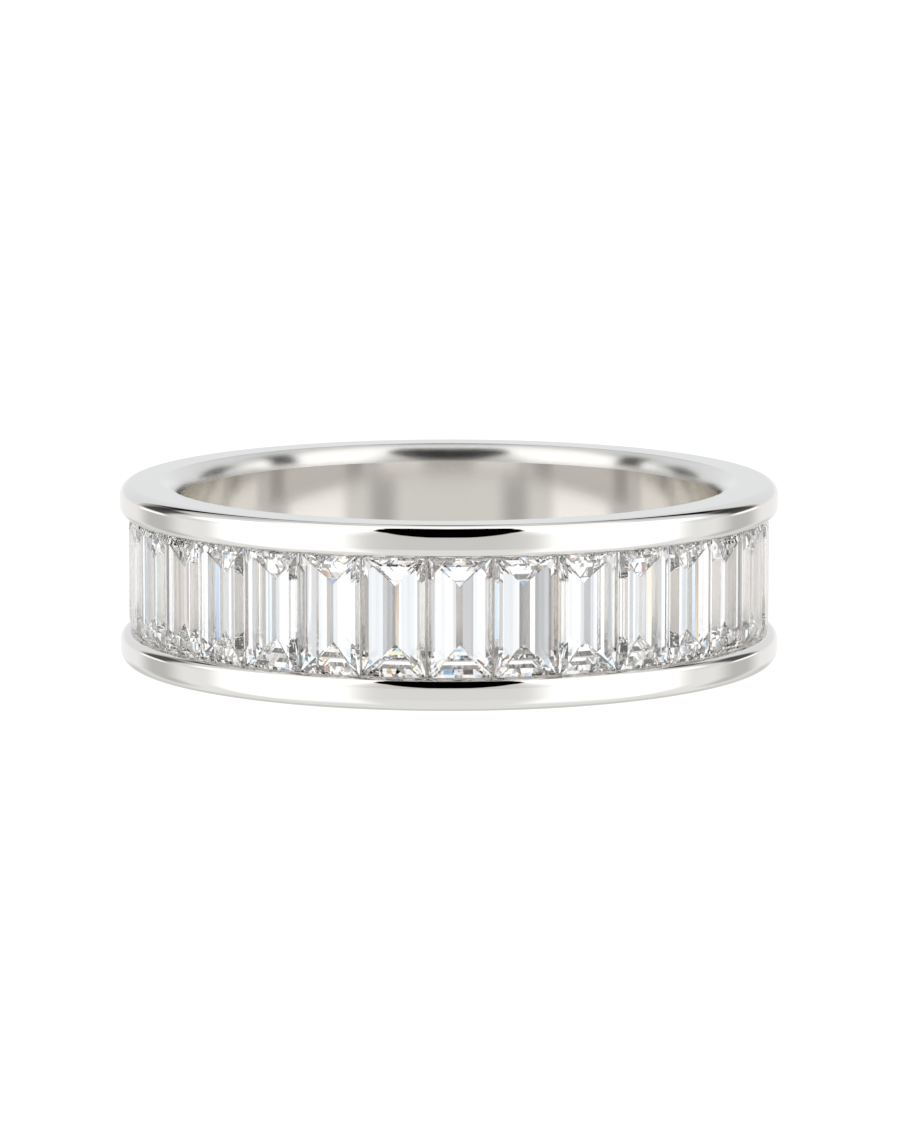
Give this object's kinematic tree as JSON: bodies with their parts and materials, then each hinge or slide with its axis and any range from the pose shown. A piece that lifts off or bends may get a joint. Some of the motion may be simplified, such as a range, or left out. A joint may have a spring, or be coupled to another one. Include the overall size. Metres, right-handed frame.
{
  "type": "channel set wedding band",
  "caption": "Plain polished metal finger ring whose outer channel holds an unbroken row of upright step cut clear stones between two rails.",
  "frame": {"origin": "on the ring's axis, in the plane of the side face that the ring rests on", "axes": "+Z along the ring's axis, up from the resting face; -Y towards the front of the ring; +X to the right seen from the front"},
  "size_m": [0.02, 0.02, 0.0055],
  "materials": {
    "white_metal": "mirror polished white gold",
    "clear_stone": "polished facets, high refraction"
  },
  "bodies": {
    "root": {"band": "white_metal", "stone_01": "clear_stone", "stone_02": "clear_stone", "stone_03": "clear_stone", "stone_04": "clear_stone", "stone_05": "clear_stone", "stone_06": "clear_stone", "stone_07": "clear_stone", "stone_08": "clear_stone", "stone_09": "clear_stone", "stone_10": "clear_stone", "stone_11": "clear_stone", "stone_12": "clear_stone", "stone_13": "clear_stone", "stone_14": "clear_stone", "stone_15": "clear_stone", "stone_16": "clear_stone", "stone_17": "clear_stone", "stone_18": "clear_stone", "stone_19": "clear_stone", "stone_20": "clear_stone", "stone_21": "clear_stone", "stone_22": "clear_stone", "stone_23": "clear_stone", "stone_24": "clear_stone", "stone_25": "clear_stone", "stone_26": "clear_stone", "stone_27": "clear_stone", "stone_28": "clear_stone", "stone_29": "clear_stone", "stone_30": "clear_stone", "stone_31": "clear_stone"}
  },
  "joints": []
}
